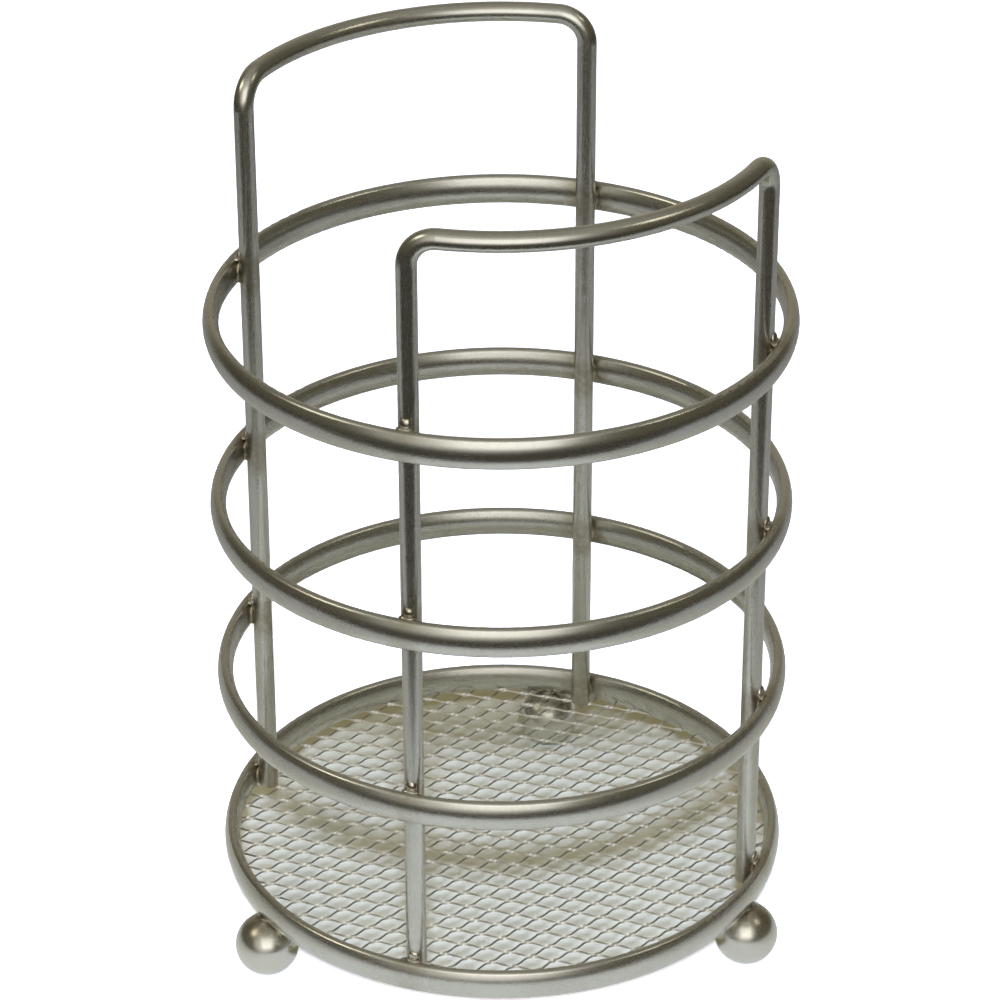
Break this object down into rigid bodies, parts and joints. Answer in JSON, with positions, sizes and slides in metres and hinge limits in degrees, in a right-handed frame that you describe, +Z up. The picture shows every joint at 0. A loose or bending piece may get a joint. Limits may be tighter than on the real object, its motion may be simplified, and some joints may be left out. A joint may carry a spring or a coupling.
{
  "type": "utensil holder",
  "caption": "Round open-wire utensil holder: flat-oval wire hoops welded round arched wire bails, with an expanded-metal mesh floor and ball feet.",
  "frame": {"origin": "on the ring axis, at the level that the ball feet stand on", "axes": "+Z up along the ring axis, -Y towards the front, +X to the right seen from the front"},
  "size_m": [0.1166, 0.1205, 0.1796],
  "materials": {
    "satin_nickel_flat_wire": "satin nickel plate on rolled flat-oval steel wire",
    "satin_nickel_round_wire": "satin nickel plate on drawn round steel wire",
    "satin_nickel_ball": "satin nickel plate on steel balls, a little smoother than the wire",
    "nickel_mesh": "satin nickel plate on expanded steel mesh"
  },
  "bodies": {
    "root": {"base_ring": "satin_nickel_flat_wire", "lower_hoop": "satin_nickel_flat_wire", "middle_hoop": "satin_nickel_flat_wire", "top_hoop": "satin_nickel_flat_wire", "rear_bail": "satin_nickel_round_wire", "front_bail": "satin_nickel_round_wire", "mesh_floor": "nickel_mesh", "front_left_foot": "satin_nickel_ball", "front_right_foot": "satin_nickel_ball", "rear_foot": "satin_nickel_ball"}
  },
  "joints": []
}
